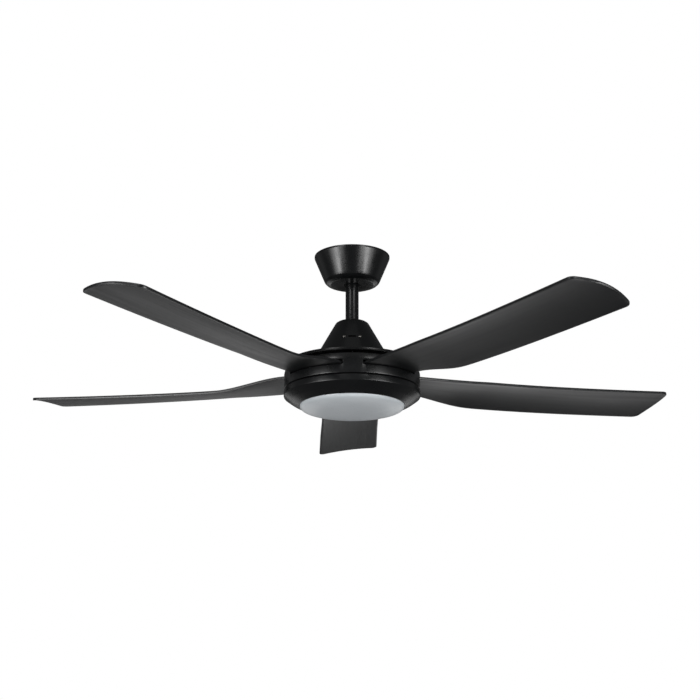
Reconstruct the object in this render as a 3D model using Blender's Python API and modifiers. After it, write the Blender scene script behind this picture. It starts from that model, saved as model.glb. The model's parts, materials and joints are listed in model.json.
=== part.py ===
"""A five-blade ceiling fan with a light, hung on a short downrod.

Metres, +Z up. The origin is the middle of the hanger bracket's top face, which lies against the ceiling.
"""

import math

import bmesh
import bpy
import numpy as np
from mathutils import Matrix, Vector

# The whole fan
SWEEP_RADIUS = 0.660
BLADE_COUNT = 5
FIRST_BLADE = math.radians(90.65)
GAP = 0.0003

# Canopy, hanger bracket and hanger ball
CANOPY_RIM_R = 0.0733
CANOPY_BAND_Z = -0.0030
CANOPY_CONE_R = 0.0554
CANOPY_CONE_Z = -0.0468
CANOPY_FLOOR_R = 0.0424
CANOPY_FLOOR_Z = -0.0580
CANOPY_HOLE_R = 0.0170
CANOPY_WALL = 0.0013
BALL_Z = -0.0360
BALL_R = 0.0190
LINER_R = BALL_R + GAP
CUP_R = 0.0211
SHEET = 0.0025

# Downrod and its couplings
ROD_R = 0.0127
ROD_BORE_R = 0.0111
ROD_TOP = -0.0195
ROD_END = -0.1700
CLEVIS_Z = -0.1600
COUPLING_R = 0.0185

# Yoke cover, the cone over the coupling
COVER_TOP_Z = -0.1335
COVER_SLOPE = 0.5625
COVER_FOOT_R = 0.0774
COVER_FOOT_Z = -0.2186
COVER_SCREW_Z = -0.1775
COVER_SCREW_SPREAD = 16.1

# Motor housing, seen as three rings with a gap between each pair
TOP_R = 0.1268
TOP_Z = -0.2190
TOP_LIP_Z = -0.2247
HUB_R = 0.1296
HUB_TOP_R = 0.1265
HUB_TOP_Z = -0.2304
HUB_END_Z = -0.2690
HUB_WALL = 0.0040
HUB_INNER_R = 0.0805
SLOT_HALF_WIDTH = 0.0604
SLOT_TOP_Z = -0.2440
SLOT_END_Z = -0.2534
SHELF_TOP_Z = -0.2518
SHAFT_R = 0.0085
SHAFT_BORE_R = 0.0050

# Light kit
LIGHT_TOP_Z = -0.2710
LIGHT_TOP_R = 0.1285
LIGHT_BAND_R = 0.1300
LIGHT_BAND_Z = -0.2810
LIGHT_BULGE_R = 0.1163
LIGHT_BULGE_Z = -0.2923
LIGHT_RIM_R = 0.1012
LIGHT_RIM_Z = -0.3004
DIFFUSER_R = 0.0995
DIFFUSER_RIM_Z = -0.2990
DIFFUSER_SAG = 0.0134

# Blades: the chord widens from root to tip, and the pitch builds up just outside the hub, then washes out
BLADE_THICKNESS = 0.0050
BLADE_ROOT_R = 0.0880
BLADE_ROOT_Z = -0.2488
ROOT_CHORD = 0.1141
TIP_CHORD = 0.1360
PITCH = math.radians(9.8)
WASHOUT = math.radians(2.25)
CAMBER = 0.0050
DROOP = 0.0088
RISE = 0.0566
FULL_PITCH_R = 0.2700
TRAILING_SHIFT = 0.0023
TIP_BULGE = 0.0100
TIP_CORNER = 0.0130
BLADE_SCREW_R = 0.1020
BLADE_SCREW_SPREAD = 0.0300

for old in list(bpy.data.objects):
    bpy.data.objects.remove(old)

fan = bpy.data.collections.new("ceiling_fan")
cutters = bpy.data.collections.new("cutters")
bpy.context.scene.collection.children.link(fan)
bpy.context.scene.collection.children.link(cutters)
cutters.hide_render = True


def finish(name, colour, roughness, metallic=0.0):
    """A Principled material."""
    made = bpy.data.materials.new(name)
    made.use_nodes = True
    shader = made.node_tree.nodes["Principled BSDF"]
    shader.inputs["Base Color"].default_value = (*colour, 1.0)
    shader.inputs["Roughness"].default_value = roughness
    shader.inputs["Metallic"].default_value = metallic
    return made


BLACK = finish("satin_black", (0.014, 0.014, 0.015), 0.38)
BLADE_FINISH = finish("blade_black", (0.020, 0.020, 0.021), 0.45)
OPAL = finish("opal_diffuser", (0.62, 0.64, 0.66), 0.35)
ZINC = finish("zinc_plated_steel", (0.55, 0.55, 0.56), 0.35, 1.0)
BRIGHT = finish("bright_screw", (0.62, 0.62, 0.64), 0.25, 1.0)
NYLON = finish("nylon", (0.70, 0.68, 0.62), 0.50)
CAST = finish("cast_aluminium", (0.50, 0.50, 0.51), 0.50, 1.0)
LAMINATION = finish("lamination_steel", (0.26, 0.26, 0.28), 0.45, 1.0)
COPPER = finish("enamelled_copper", (0.45, 0.17, 0.07), 0.35, 1.0)
BOARD = finish("led_board_white", (0.78, 0.78, 0.76), 0.45)
DRIVER = finish("driver_case", (0.60, 0.61, 0.62), 0.50)
MAGNET = finish("ferrite_magnet", (0.05, 0.05, 0.055), 0.60)


def add(name, mesh, material=None, location=(0, 0, 0), collection=None):
    """One named object that holds the mesh."""
    made = bpy.data.objects.new(name, mesh)
    made.location = location
    (collection or fan).objects.link(made)
    if material:
        mesh.materials.clear()
        mesh.materials.append(material)
    if collection == cutters:
        made.display_type = "WIRE"
        made.hide_render = True
    return made


def lathe(name, profile, material=None, steps=64, location=(0, 0, 0), collection=None):
    """A turned piece: the (radius, height) profile runs down its outer side, and closes unless both its ends are on the axis."""
    form = bmesh.new()
    points = [form.verts.new((r, 0.0, z)) for r, z in profile]
    for upper, lower in zip(points, points[1:]):
        form.edges.new((upper, lower))
    if profile[0][0] > 0 or profile[-1][0] > 0:
        form.edges.new((points[-1], points[0]))
    mesh = bpy.data.meshes.new(name)
    form.to_mesh(mesh)
    form.free()
    made = add(name, mesh, material, location, collection)
    turn = made.modifiers.new("Screw", "SCREW")
    turn.axis = "Z"
    turn.steps = steps
    turn.render_steps = steps
    turn.use_merge_vertices = True
    turn.merge_threshold = 0.00002
    turn.use_smooth_shade = True
    return made


def arc(centre_r, centre_z, radius, start, end, count):
    """Points on an arc in the profile plane, with angles in degrees from +X towards +Z."""
    angles = np.radians(np.linspace(start, end, count))
    return [(centre_r + radius * math.cos(a), centre_z + radius * math.sin(a)) for a in angles]


def block(name, size, location, material=None, collection=None, turned=0.0, tilt=0.0):
    """A box whose scale is in its mesh, turned about Z and tilted about its own Y."""
    form = bmesh.new()
    bmesh.ops.create_cube(form, size=1.0)
    bmesh.ops.scale(form, vec=Vector(size), verts=form.verts)
    mesh = bpy.data.meshes.new(name)
    form.to_mesh(mesh)
    form.free()
    made = add(name, mesh, material, location, collection)
    made.rotation_euler = (0.0, tilt, turned)
    return made


def rod(name, radius, length, location, along, material=None, collection=None, steps=20):
    """A straight round bar whose middle is at location."""
    form = bmesh.new()
    bmesh.ops.create_cone(
        form, cap_ends=True, segments=steps, radius1=radius, radius2=radius, depth=length
    )
    mesh = bpy.data.meshes.new(name)
    form.to_mesh(mesh)
    form.free()
    made = add(name, mesh, material, location, collection)
    made.rotation_euler = Vector(along).to_track_quat("Z", "Y").to_euler()
    return made


def boolean(target, other, operation="DIFFERENCE"):
    """Cuts other from target, or joins it on."""
    step = target.modifiers.new(other.name, "BOOLEAN")
    step.operation = operation
    step.object = other


def ease(value, start, end):
    """0 before start, 1 after end, and smooth between them."""
    t = np.clip((value - start) / (end - start), 0.0, 1.0)
    return t * t * (3.0 - 2.0 * t)


# Hanger bracket: a bent strap that screws to the ceiling box and carries the ball in a cup.
bracket = block("hanger_bracket", (0.104, 0.034, SHEET), (0, 0, -SHEET / 2), ZINC)
for side in (-1, 1):
    leg = block(
        f"bracket_leg_{side}", (SHEET, 0.0336, 0.0370), (side * 0.0285, 0, -0.0190),
        collection=cutters,
    )
    boolean(bracket, leg, "UNION")
web = block("bracket_web", (0.0595, 0.034, SHEET), (0, 0, -0.0372), collection=cutters)
boolean(bracket, web, "UNION")
EAR_ANGLES = (28, 152)
for degrees in EAR_ANGLES:
    turned = math.radians(degrees)
    arm = block(
        f"bracket_arm_{degrees}", (0.0520, 0.0120, SHEET - 0.0004),
        (0.0367 * math.cos(turned), 0.0367 * math.sin(turned), -SHEET / 2),
        collection=cutters, turned=turned,
    )
    boolean(bracket, arm, "UNION")
    ear = block(
        f"bracket_ear_{degrees}", (SHEET, 0.0118, 0.0146),
        (0.06275 * math.cos(turned), 0.06275 * math.sin(turned), -0.0077),
        collection=cutters, turned=turned,
    )
    boolean(bracket, ear, "UNION")
cup_profile = (
    arc(0, BALL_Z, CUP_R + SHEET, -2, -36, 4) + arc(0, BALL_Z, CUP_R - 0.0020, -36, -2, 2)
)
cup = lathe("bracket_cup", cup_profile, steps=28, collection=cutters)
boolean(bracket, cup, "UNION")
cup_space = lathe(
    "bracket_cup_space",
    [(0, BALL_Z + CUP_R)] + arc(0, BALL_Z, CUP_R, 70, -70, 13) + [(0, BALL_Z - CUP_R)],
    steps=28,
    collection=cutters,
)
boolean(bracket, cup_space)
# The ball and its rod slide into the cup through this side gate.
gate = block("bracket_gate", (0.0300, 0.0500, 0.0320), (0, 0.0250, -0.0500), collection=cutters)
boolean(bracket, gate)
for side in (-1, 1):
    screw_slot = block(
        f"bracket_slot_{side}", (0.0120, 0.0052, 0.0100), (side * 0.0400, 0, 0), collection=cutters
    )
    boolean(bracket, screw_slot)
wire_way = rod("bracket_wire_way", 0.0050, 0.0200, (0, 0.0095, 0), (0, 0, 1), collection=cutters)
boolean(bracket, wire_way)

# Canopy: a spun cup whose rim meets the ceiling. The hanger ball's rod hangs through its floor.
floor_top = CANOPY_FLOOR_Z + CANOPY_WALL
lathe(
    "canopy",
    [
        (CANOPY_RIM_R - 0.0005, 0.0),
        (CANOPY_RIM_R, -0.0008),
        (CANOPY_RIM_R, CANOPY_BAND_Z),
        (CANOPY_CONE_R, CANOPY_CONE_Z),
        (CANOPY_CONE_R - 0.0016, -0.0505),
        (CANOPY_CONE_R - 0.0058, -0.0548),
        (CANOPY_FLOOR_R, CANOPY_FLOOR_Z),
        (CANOPY_HOLE_R, CANOPY_FLOOR_Z),
        (CANOPY_HOLE_R, floor_top),
        (CANOPY_FLOOR_R - 0.0004, floor_top),
        (CANOPY_CONE_R - 0.0066, -0.0536),
        (CANOPY_CONE_R - CANOPY_WALL - 0.0002, CANOPY_CONE_Z),
        (CANOPY_RIM_R - 0.0015, CANOPY_BAND_Z),
        (CANOPY_RIM_R - 0.0015, 0.0),
    ],
    BLACK,
    steps=48,
)
canopy = bpy.data.objects["canopy"]

SCREW_HEAD = [(0.0, 0.0016), (0.0022, 0.0013), (0.0032, 0.0), (0.0016, 0.0)]


def screw(name, seat, outward, length, material, head_r=0.0032, cross=True):
    """A pan-headed screw, with a cross recess where it shows. Its head seats at seat and faces outward."""
    scale = head_r / 0.0032
    profile = [(r * scale, z * scale) for r, z in SCREW_HEAD]
    profile += [(profile[-1][0], -length), (0.0, -length)]
    facing = Vector(outward).to_track_quat("Z", "Y").to_euler()
    made = lathe(name, profile, material, steps=8, location=seat)
    made.rotation_euler = facing
    for turned in (0, 1) if cross else ():
        size = (0.0036, 0.0008, 0.0014)
        bar = block(
            f"{name}_recess_{turned}",
            [side * scale for side in (size[turned], size[1 - turned], size[2])],
            Vector(seat) + Vector(outward).normalized() * 0.0016 * scale,
            collection=cutters,
        )
        bar.rotation_euler = facing
        boolean(made, bar)
    return made


def around(radius, degrees, height):
    """The point at this angle on a level circle about the fan's axis."""
    angle = math.radians(degrees)
    return (radius * math.cos(angle), radius * math.sin(angle), height)


# Two screws go through the canopy's rear half into the bracket's ears.
canopy_slope = (CANOPY_RIM_R - CANOPY_CONE_R) / (CANOPY_BAND_Z - CANOPY_CONE_Z)
CANOPY_SCREW_Z = -0.0120
canopy_screw_r = CANOPY_RIM_R + canopy_slope * (CANOPY_SCREW_Z - CANOPY_BAND_Z)
for number, degrees in enumerate(EAR_ANGLES, 1):
    outward = around(1.0, degrees, -canopy_slope)
    through = around(canopy_screw_r + GAP, degrees, CANOPY_SCREW_Z)
    hole = rod(f"canopy_hole_{number}", 0.0019, 0.0240, through, outward, collection=cutters)
    boolean(canopy, hole)
    boolean(bracket, hole)
    screw(f"canopy_screw_{number}", through, outward, 0.0075, ZINC)

# Terminal block for the supply wires, fixed under the bracket's strap.
terminal_at = (0.0, -0.0120, -SHEET - GAP - 0.0055)
terminal = block("terminal_block", (0.0230, 0.0090, 0.0110), terminal_at, NYLON)
for column in (-1, 0, 1):
    port = rod(
        f"terminal_port_{column}", 0.0016, 0.0200, (column * 0.0070, -0.0120, -0.0095), (0, 1, 0),
        collection=cutters, steps=10,
    )
    boolean(terminal, port)

# Nylon liner ring between the cup and the ball: the ball tilts one way in it, and it tilts the other way in the cup.
lathe(
    "ball_liner",
    arc(0, BALL_Z, CUP_R - GAP, -10, -36, 4) + arc(0, BALL_Z, LINER_R, -36, -10, 4),
    NYLON,
    steps=28,
)

# Hanger ball: cut flat on top and below, with the rod pinned through it.
BALL_FLAT = 0.0135
flat_angle = math.degrees(math.asin(BALL_FLAT / BALL_R))
ball = lathe(
    "hanger_ball",
    arc(0, BALL_Z, BALL_R, flat_angle, -flat_angle, 8)
    + [(ROD_R + GAP, BALL_Z - BALL_FLAT), (ROD_R + GAP, BALL_Z + BALL_FLAT)],
    NYLON,
    steps=28,
)

# Downrod: a one-inch tube, cross-drilled at each end.
downrod = lathe(
    "downrod",
    [(ROD_R, ROD_TOP), (ROD_R, ROD_END), (ROD_BORE_R, ROD_END), (ROD_BORE_R, ROD_TOP)],
    BLACK,
    steps=28,
)
BALL_PIN_Z = BALL_Z + 0.0090
BALL_PIN_R = 0.0022
ball_pin_way = rod(
    "ball_pin_way", BALL_PIN_R + GAP, 0.0600, (0, 0, BALL_PIN_Z), (1, 0, 0), collection=cutters
)
boolean(ball, ball_pin_way)
boolean(downrod, ball_pin_way)
rod("ball_pin", BALL_PIN_R, 0.0310, (0, 0, BALL_PIN_Z), (1, 0, 0), ZINC, steps=16)

# Coupling: a socket for the downrod over a flange that bolts to the top cover.
COUPLING_TOP_Z = -0.1500
FLANGE_R = 0.0290
FLANGE_END_Z = TOP_Z + GAP
FLANGE_TOP_Z = FLANGE_END_Z + 0.0040
coupling = lathe(
    "downrod_coupling",
    [
        (COUPLING_R - 0.0008, COUPLING_TOP_Z),
        (COUPLING_R, COUPLING_TOP_Z - 0.0008),
        (COUPLING_R, FLANGE_TOP_Z + 0.0025),
        (COUPLING_R + 0.0025, FLANGE_TOP_Z),
        (FLANGE_R, FLANGE_TOP_Z),
        (FLANGE_R, FLANGE_END_Z),
        (SHAFT_R + GAP, FLANGE_END_Z),
        (SHAFT_R + GAP, -0.1850),
        (ROD_R + GAP, -0.1850),
        (ROD_R + GAP, COUPLING_TOP_Z),
    ],
    CAST,
    steps=24,
)
CLEVIS_R = 0.0032
clevis_way = rod(
    "clevis_way", CLEVIS_R + GAP, 0.0700, (0, 0, CLEVIS_Z), (1, 0, 0), collection=cutters
)
boolean(downrod, clevis_way)
boolean(coupling, clevis_way)
clevis = lathe(
    "clevis_pin",
    [
        (0.0, 0.0250),
        (0.0050, 0.0250),
        (0.0050, 0.0225),
        (CLEVIS_R, 0.0225),
        (CLEVIS_R, -0.0275),
        (0.0, -0.0275),
    ],
    ZINC,
    steps=12,
    location=(0, 0, CLEVIS_Z),
)
clevis.rotation_euler = (0, -math.pi / 2, 0)
clip_way = rod("clip_way", 0.0012, 0.02, (0.0240, 0, CLEVIS_Z), (0, 1, 0), collection=cutters)
boolean(clevis, clip_way)

# Hairpin clip through the clevis pin's end: one straight leg in the hole, one bowed leg outside it.
clip_curve = bpy.data.curves.new("hairpin_clip", "CURVE")
clip_curve.dimensions = "3D"
clip_curve.bevel_depth = 0.00085
clip_curve.bevel_resolution = 0
clip_curve.use_fill_caps = True
clip_line = clip_curve.splines.new("POLY")
straight_leg = [(0.0, y) for y in (-0.0065, 0.0, 0.0065, 0.0120)]
eye = arc(0.0024, 0.0135, 0.0024, 180, 0, 7)
bowed_leg = [(0.0048, 0.0120), (0.0050, 0.0070), (0.0060, 0.0020), (0.0050, -0.0035)]
clip_points = straight_leg + eye + bowed_leg
clip_line.points.add(len(clip_points) - 1)
for point, (across, lengthwise) in zip(clip_line.points, clip_points):
    point.co = (0.0240, -lengthwise, CLEVIS_Z - across, 1.0)
clip = bpy.data.objects.new("hairpin_clip", clip_curve)
clip.data.materials.append(ZINC)
fan.objects.link(clip)

# Two screws hold the coupling's flange down on the top cover.
for number, degrees in enumerate((90, 270), 1):
    seat = around(0.0245, degrees, FLANGE_TOP_Z + GAP)
    hole = rod(f"flange_hole_{number}", 0.0021, 0.0200, seat, (0, 0, 1), collection=cutters)
    boolean(coupling, hole)
    screw(f"flange_screw_{number}", seat, (0, 0, 1), 0.0050, ZINC, cross=False)

# Yoke cover: a spun cone with a rounded shoulder that slides on the downrod and rests on the top cover.
COVER_WALL = 0.0013
inward = COVER_WALL * math.hypot(1.0, COVER_SLOPE)


def cover_r(height):
    """The cone's outer radius at this height."""
    return COVER_FOOT_R + COVER_SLOPE * (COVER_FOOT_Z - height)


shoulder_z = COVER_TOP_Z - 0.0040
cover = lathe(
    "yoke_cover",
    [
        (0.0240, COVER_TOP_Z),
        (0.0278, COVER_TOP_Z - 0.0014),
        (cover_r(shoulder_z), shoulder_z),
        (COVER_FOOT_R, COVER_FOOT_Z),
        (COVER_FOOT_R - inward, COVER_FOOT_Z),
        (cover_r(shoulder_z) - inward, shoulder_z),
        (0.0240, COVER_TOP_Z - COVER_WALL - 0.0004),
        (ROD_R + 0.0006, COVER_TOP_Z - COVER_WALL),
        (ROD_R + 0.0006, COVER_TOP_Z),
    ],
    BLACK,
    steps=48,
)
cover_lean = (1.0, COVER_SLOPE)
for number, degrees in enumerate((-90 - COVER_SCREW_SPREAD, -90 + COVER_SCREW_SPREAD), 1):
    seat_r = cover_r(COVER_SCREW_Z) + GAP
    seat = around(seat_r, degrees, COVER_SCREW_Z)
    outward = around(cover_lean[0], degrees, cover_lean[1])
    hole = rod(f"cover_hole_{number}", 0.0019, 0.0200, seat, outward, collection=cutters)
    boolean(cover, hole)
    screw(f"cover_screw_{number}", seat, outward, 0.0055, BRIGHT)
# An oblong slot between the two screws gives access to the coupling.
cover_slot = block(
    "cover_slot", (0.0150, 0.0300, 0.0034), around(cover_r(COVER_SCREW_Z), -90, COVER_SCREW_Z),
    collection=cutters,
)
rounding = cover_slot.modifiers.new("Bevel", "BEVEL")
rounding.width = 0.0015
rounding.segments = 2
boolean(cover, cover_slot)

# Top cover: the still disc above the blades.
top_cover = lathe(
    "top_cover",
    [
        (TOP_R - 0.0014, TOP_Z),
        (TOP_R, TOP_Z - 0.0014),
        (TOP_R, TOP_LIP_Z),
        (TOP_R - 0.0024, TOP_LIP_Z),
        (TOP_R - 0.0024, TOP_Z - 0.0022),
        (SHAFT_R + GAP, TOP_Z - 0.0022),
        (SHAFT_R + GAP, TOP_Z),
    ],
    BLACK,
    steps=64,
)
for number, degrees in enumerate((90, 270), 1):
    hole = rod(
        f"top_hole_{number}", 0.0021, 0.0200, around(0.0245, degrees, TOP_Z), (0, 0, 1),
        collection=cutters,
    )
    boolean(top_cover, hole)
for number in range(6):
    vent = block(
        f"top_vent_{number}", (0.0200, 0.0050, 0.0200), around(0.0560, 60 * number + 30, TOP_Z),
        collection=cutters, turned=math.radians(60 * number + 30),
    )
    boolean(top_cover, vent)

# Hollow shaft: it carries the motor, and the lamp's wires run down through it.
SHAFT_TOP_Z = -0.1880
SHAFT_END_Z = -0.2905
lathe(
    "motor_shaft",
    [
        (SHAFT_R, SHAFT_TOP_Z),
        (SHAFT_R, SHAFT_END_Z),
        (SHAFT_BORE_R, SHAFT_END_Z),
        (SHAFT_BORE_R, SHAFT_TOP_Z),
    ],
    ZINC,
    steps=24,
)

# Stator on the shaft: a laminated core with a pole at each slot, and its winding ring.
STATOR_R = 0.0600
STATOR_TOP_Z = -0.2410
STATOR_END_Z = -0.2550
stator = lathe(
    "stator_core",
    [
        (STATOR_R, STATOR_TOP_Z),
        (STATOR_R, STATOR_END_Z),
        (SHAFT_R + GAP, STATOR_END_Z),
        (SHAFT_R + GAP, STATOR_TOP_Z),
    ],
    LAMINATION,
    steps=36,
)
for number in range(12):
    gap_between = block(
        f"stator_slot_{number}", (0.0100, 0.0032, 0.0400), around(0.0580, 30 * number, -0.2480),
        collection=cutters, turned=math.radians(30 * number),
    )
    boolean(stator, gap_between)
lathe(
    "stator_winding",
    arc(0.0380, STATOR_TOP_Z + GAP, 0.0064, 180, 0, 6),
    COPPER,
    steps=28,
)

# Rotor: a bell in two halves on two ball bearings, with a ring of magnets round the stator.
BEARING_R = 0.0145
for name, top in (("bearing_upper", HUB_TOP_Z - 0.0012), ("bearing_lower", HUB_END_Z + 0.0069)):
    bearing_end = top - 0.0060
    race_r = SHAFT_R + 0.0001
    lathe(
        name,
        [(BEARING_R, top), (BEARING_R, bearing_end), (race_r, bearing_end), (race_r, top)],
        ZINC,
        steps=24,
    )
BELL_R = HUB_INNER_R - GAP
SEAM_Z = -0.2480
lathe(
    "rotor_bell_upper",
    [
        (BELL_R, HUB_TOP_Z - 0.0004),
        (BELL_R, SEAM_Z + GAP / 2),
        (BELL_R - 0.0025, SEAM_Z + GAP / 2),
        (BELL_R - 0.0025, HUB_TOP_Z - 0.0026),
        (BEARING_R + 0.0025, HUB_TOP_Z - 0.0026),
        (BEARING_R + 0.0025, -0.2370),
        (BEARING_R + GAP, -0.2370),
        (BEARING_R + GAP, HUB_TOP_Z - 0.0004),
    ],
    CAST,
    steps=32,
)
lathe(
    "rotor_bell_lower",
    [
        (BELL_R, SEAM_Z - GAP / 2),
        (BELL_R, HUB_END_Z + 0.0004),
        (BEARING_R + GAP, HUB_END_Z + 0.0004),
        (BEARING_R + GAP, -0.2600),
        (BEARING_R + 0.0025, -0.2600),
        (BEARING_R + 0.0025, HUB_END_Z + 0.0026),
        (BELL_R - 0.0025, HUB_END_Z + 0.0026),
        (BELL_R - 0.0025, SEAM_Z - GAP / 2),
    ],
    CAST,
    steps=32,
)
lathe(
    "magnet_ring",
    [
        (BELL_R - 0.0028, -0.2400),
        (BELL_R - 0.0028, -0.2560),
        (STATOR_R + 0.0020, -0.2560),
        (STATOR_R + 0.0020, -0.2400),
    ],
    MAGNET,
    steps=32,
)

# Blade hub: a ring round the bell, open to the inside, with a slot through its wall for each blade.
hub = lathe(
    "blade_hub",
    [
        (HUB_TOP_R, HUB_TOP_Z),
        (HUB_TOP_R + 0.0013, HUB_TOP_Z - 0.0014),
        (HUB_R, HUB_TOP_Z - 0.0100),
        (HUB_R, HUB_END_Z + 0.0022),
        (HUB_R - 0.0018, HUB_END_Z),
        (HUB_INNER_R, HUB_END_Z),
        (HUB_INNER_R, HUB_END_Z + 0.0025),
        (HUB_R - HUB_WALL, HUB_END_Z + 0.0025),
        (HUB_R - HUB_WALL, SHELF_TOP_Z - 0.0030),
        (HUB_INNER_R, SHELF_TOP_Z - 0.0030),
        (HUB_INNER_R, SHELF_TOP_Z),
        (HUB_R - HUB_WALL, SHELF_TOP_Z),
        (HUB_R - HUB_WALL, HUB_TOP_Z - 0.0025),
        (HUB_INNER_R, HUB_TOP_Z - 0.0025),
        (HUB_INNER_R, HUB_TOP_Z),
    ],
    BLACK,
    steps=60,
)
for number in range(BLADE_COUNT):
    turned = FIRST_BLADE + math.radians(72 * number)
    slot = block(
        f"hub_slot_{number + 1}",
        (0.0300, 2 * SLOT_HALF_WIDTH, SLOT_TOP_Z - SLOT_END_Z),
        around(0.1215, math.degrees(turned), (SLOT_TOP_Z + SLOT_END_Z) / 2),
        collection=cutters, turned=turned,
    )
    boolean(hub, slot)

# One blade, as a warped sheet that is then given its thickness.
form = bmesh.new()
bmesh.ops.create_grid(form, x_segments=20, y_segments=4, size=1.0)
blade_length = SWEEP_RADIUS - TIP_BULGE - BLADE_ROOT_R
for corner in form.verts:
    # Rows of the sheet lie closer together at the root and, most of all, at the rounded tip.
    share = 0.5 + 0.5 * corner.co.x
    outwards = 1.0 - (1.0 - 0.45 * share - 0.275 * (1.0 - math.cos(math.pi * share))) ** 1.3
    across = corner.co.y
    radius = BLADE_ROOT_R + blade_length * outwards
    from_tip = blade_length * (1.0 - outwards)
    chord = ROOT_CHORD + (TIP_CHORD - ROOT_CHORD) * (radius - 0.1) / (SWEEP_RADIUS - 0.1)
    half_width = chord / 2
    if from_tip < TIP_CORNER:
        rounding_in = TIP_CORNER - from_tip
        half_width -= TIP_CORNER - math.sqrt(TIP_CORNER**2 - rounding_in**2)
    pitch = PITCH * ease(radius, 0.118, FULL_PITCH_R)
    pitch -= WASHOUT * max(0.0, (radius - FULL_PITCH_R) / (SWEEP_RADIUS - FULL_PITCH_R))
    offset = across * half_width
    height = BLADE_ROOT_Z - DROOP * ease(radius, 0.115, 0.255)
    height += RISE * max(0.0, radius - FULL_PITCH_R) ** 1.5
    height += CAMBER * ease(radius, 0.125, FULL_PITCH_R) * (1.0 - across**2)
    corner.co = (
        radius + TIP_BULGE * ease(radius, 0.560, 0.650) * (1.0 - across**2),
        TRAILING_SHIFT * ease(radius, 0.150, 0.450) + offset * math.cos(pitch),
        height - offset * math.sin(pitch),
    )
sheet = bpy.data.meshes.new("blade_sheet")
form.to_mesh(sheet)
form.free()
blade_guide = add("blade_guide", sheet, BLADE_FINISH, collection=cutters)
thicken = blade_guide.modifiers.new("Solidify", "SOLIDIFY")
thicken.thickness = BLADE_THICKNESS
thicken.offset = 0.0
edge = blade_guide.modifiers.new("Bevel", "BEVEL")
edge.width = 0.0012
edge.segments = 1
edge.limit_method = "ANGLE"
edge.angle_limit = math.radians(60)
for side in (-1, 1):
    hole = rod(
        f"blade_hole_{side}", 0.0021, 0.0300,
        (BLADE_SCREW_R, side * BLADE_SCREW_SPREAD, BLADE_ROOT_Z), (0, 0, 1),
        collection=cutters, steps=8,
    )
    boolean(blade_guide, hole)
blade_mesh = bpy.data.meshes.new_from_object(
    blade_guide.evaluated_get(bpy.context.evaluated_depsgraph_get())
)
for number in range(BLADE_COUNT):
    turned = FIRST_BLADE + math.radians(72 * number)
    blade = bpy.data.objects.new(f"blade_{number + 1}", blade_mesh)
    blade.rotation_euler = (0, 0, turned)
    fan.objects.link(blade)
    for side in (-1, 1):
        swing = math.degrees(turned + side * math.atan2(BLADE_SCREW_SPREAD, BLADE_SCREW_R))
        reach = math.hypot(BLADE_SCREW_R, BLADE_SCREW_SPREAD)
        seat = around(reach, swing, BLADE_ROOT_Z + BLADE_THICKNESS / 2 + GAP)
        letter = "a" if side < 0 else "b"
        hole = rod(
            f"hub_hole_{number + 1}{letter}", 0.0021, 0.0080,
            around(reach, swing, SHELF_TOP_Z), (0, 0, 1), collection=cutters, steps=8,
        )
        boolean(hub, hole)
        screw(f"blade_screw_{number + 1}{letter}", seat, (0, 0, 1), 0.0080, ZINC, 0.0036, cross=False)

# Light housing: a shallow bowl, open below, with a ledge inside its rim for the diffuser's lugs.
LEDGE_R = DIFFUSER_R - 0.0050
LEDGE_TOP_Z = DIFFUSER_RIM_Z + 0.0067
LEDGE_END_Z = DIFFUSER_RIM_Z + 0.0042
HOUSING_WALL = 0.0024
housing = lathe(
    "light_housing",
    [
        (LIGHT_TOP_R, LIGHT_TOP_Z),
        (LIGHT_BAND_R, LIGHT_TOP_Z - 0.0018),
        (LIGHT_BAND_R, LIGHT_BAND_Z),
        (LIGHT_BAND_R - 0.0010, LIGHT_BAND_Z - 0.0020),
        (LIGHT_BULGE_R, LIGHT_BULGE_Z),
        (LIGHT_RIM_R + 0.0010, LIGHT_RIM_Z + 0.0002),
        (LIGHT_RIM_R - 0.0006, LIGHT_RIM_Z),
        (DIFFUSER_R + GAP, LIGHT_RIM_Z + 0.0006),
        (DIFFUSER_R + GAP, LEDGE_END_Z),
        (LEDGE_R, LEDGE_END_Z),
        (LEDGE_R, LEDGE_TOP_Z),
        (LIGHT_BULGE_R - 0.0045, LEDGE_TOP_Z),
        (LIGHT_BAND_R - 0.0036, LIGHT_BAND_Z + 0.0006),
        (LIGHT_BAND_R - HOUSING_WALL, LIGHT_TOP_Z - 0.0022),
        (SHAFT_R + GAP, LIGHT_TOP_Z - 0.0022),
        (SHAFT_R + GAP, LIGHT_TOP_Z),
    ],
    BLACK,
    steps=64,
)
LUG_COUNT = 3
LUG_WIDTH = 0.0140
NOTCH_TURN = 25
for number in range(LUG_COUNT):
    degrees = 120 * number + 30 + NOTCH_TURN
    notch = block(
        f"housing_notch_{number}", (0.0100, LUG_WIDTH + 0.0030, 0.0060),
        around(LEDGE_R - 0.0013, degrees, LEDGE_TOP_Z - 0.0013), collection=cutters,
        turned=math.radians(degrees),
    )
    boolean(housing, notch)

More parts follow.
